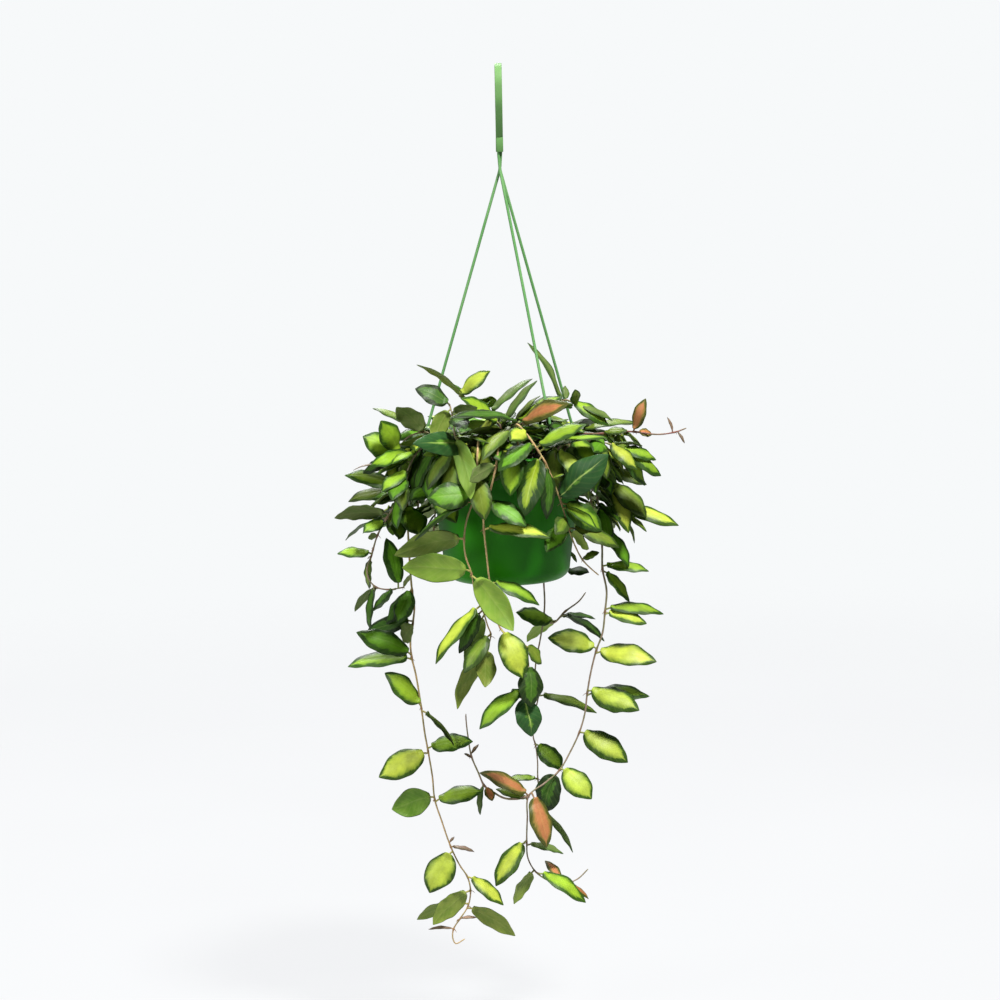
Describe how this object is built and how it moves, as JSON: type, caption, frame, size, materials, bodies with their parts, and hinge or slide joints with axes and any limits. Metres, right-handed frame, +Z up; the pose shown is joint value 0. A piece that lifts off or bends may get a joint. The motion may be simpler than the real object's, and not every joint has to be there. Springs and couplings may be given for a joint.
{
  "type": "hanging potted hoya",
  "caption": "Trailing hoya with variegated leaves, rooted in a plastic pot that hangs by wires from a flat hook.",
  "frame": {"origin": "inside top of the hook's bend, the seat that the plant hangs from", "axes": "+Z up, +X to the right of the picture's viewer, the viewer at -Y"},
  "size_m": [0.3659, 0.2833, 0.922],
  "materials": {
    "hanger": "light green moulded plastic, satin",
    "pot": "dark green moulded plastic, satin gloss",
    "potting_mix": "dark fibrous potting mix with pale grains, matt",
    "foliage": "soft felted leaf, yellow-green centre with dark green margins, tan and mauve stems"
  },
  "bodies": {
    "root": {"hook": "hanger", "wire_left": "hanger", "wire_right": "hanger", "wire_front": "hanger", "pot": "pot", "soil": "potting_mix", "vine_left_long": "foliage", "vine_left_loop": "foliage", "vine_front_left": "foliage", "vine_front": "foliage", "vine_front_right": "foliage", "vine_right_long": "foliage", "vine_behind": "foliage", "vine_back_right": "foliage", "crown_upper_left": "foliage", "crown_centre": "foliage", "crown_left_front": "foliage", "crown_left": "foliage", "crown_left_low": "foliage", "crown_right_upper": "foliage", "shoot_right": "foliage", "crown_right": "foliage", "crown_right_low": "foliage", "vine_back_1": "foliage", "vine_back_2": "foliage", "vine_back_3": "foliage", "vine_back_4": "foliage", "vine_back_5": "foliage", "vine_back_6": "foliage", "vine_back_7": "foliage", "crown_rim_1": "foliage", "crown_rim_2": "foliage", "crown_rim_3": "foliage", "crown_rim_4": "foliage", "crown_rim_5": "foliage", "crown_rim_6": "foliage", "crown_rim_7": "foliage", "crown_rim_8": "foliage", "crown_rim_9": "foliage", "crown_rim_10": "foliage", "crown_rim_11": "foliage", "crown_fill_1": "foliage", "crown_fill_2": "foliage", "crown_fill_3": "foliage", "crown_fill_4": "foliage", "crown_fill_5": "foliage", "crown_fill_6": "foliage", "crown_fill_7": "foliage", "crown_fill_8": "foliage", "crown_fill_9": "foliage", "crown_fill_10": "foliage", "crown_fill_11": "foliage", "crown_fill_12": "foliage", "crown_fill_13": "foliage", "crown_fill_14": "foliage", "crown_fill_15": "foliage", "crown_fill_16": "foliage"}
  },
  "joints": []
}
